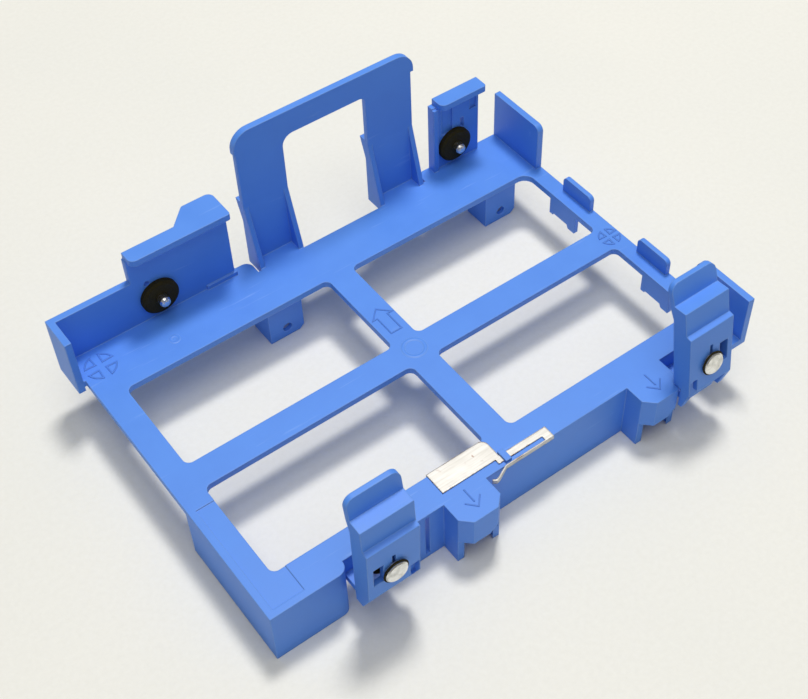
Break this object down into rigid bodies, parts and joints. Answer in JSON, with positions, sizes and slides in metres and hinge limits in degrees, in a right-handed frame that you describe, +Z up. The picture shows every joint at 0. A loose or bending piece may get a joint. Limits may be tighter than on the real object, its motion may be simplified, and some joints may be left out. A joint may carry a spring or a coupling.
{
  "type": "hot swap drive caddy",
  "caption": "Open moulded tray that carries a 3.5 inch drive on sprung side pins in rubber grommets, with a pull handle and a spring ground clip.",
  "frame": {"origin": "middle of the underside of the bounding box", "axes": "+X along the long rails toward the end with the guide tabs, +Y toward the handle, +Z up"},
  "size_m": [0.1524, 0.1194, 0.0644],
  "materials": {
    "blue_plastic": "satin",
    "black_rubber": "matte",
    "bright_steel": "bright",
    "tinned_spring_steel": "tin plated"
  },
  "bodies": {
    "root": {"caddy_frame": "blue_plastic", "rear_grommet_left": "black_rubber", "rear_grommet_right": "black_rubber", "front_grommet_left": "black_rubber", "front_grommet_right": "black_rubber", "rear_pin_left": "bright_steel", "rear_pin_right": "bright_steel", "front_pin_left": "bright_steel", "front_pin_right": "bright_steel", "ground_clip": "tinned_spring_steel"}
  },
  "joints": []
}
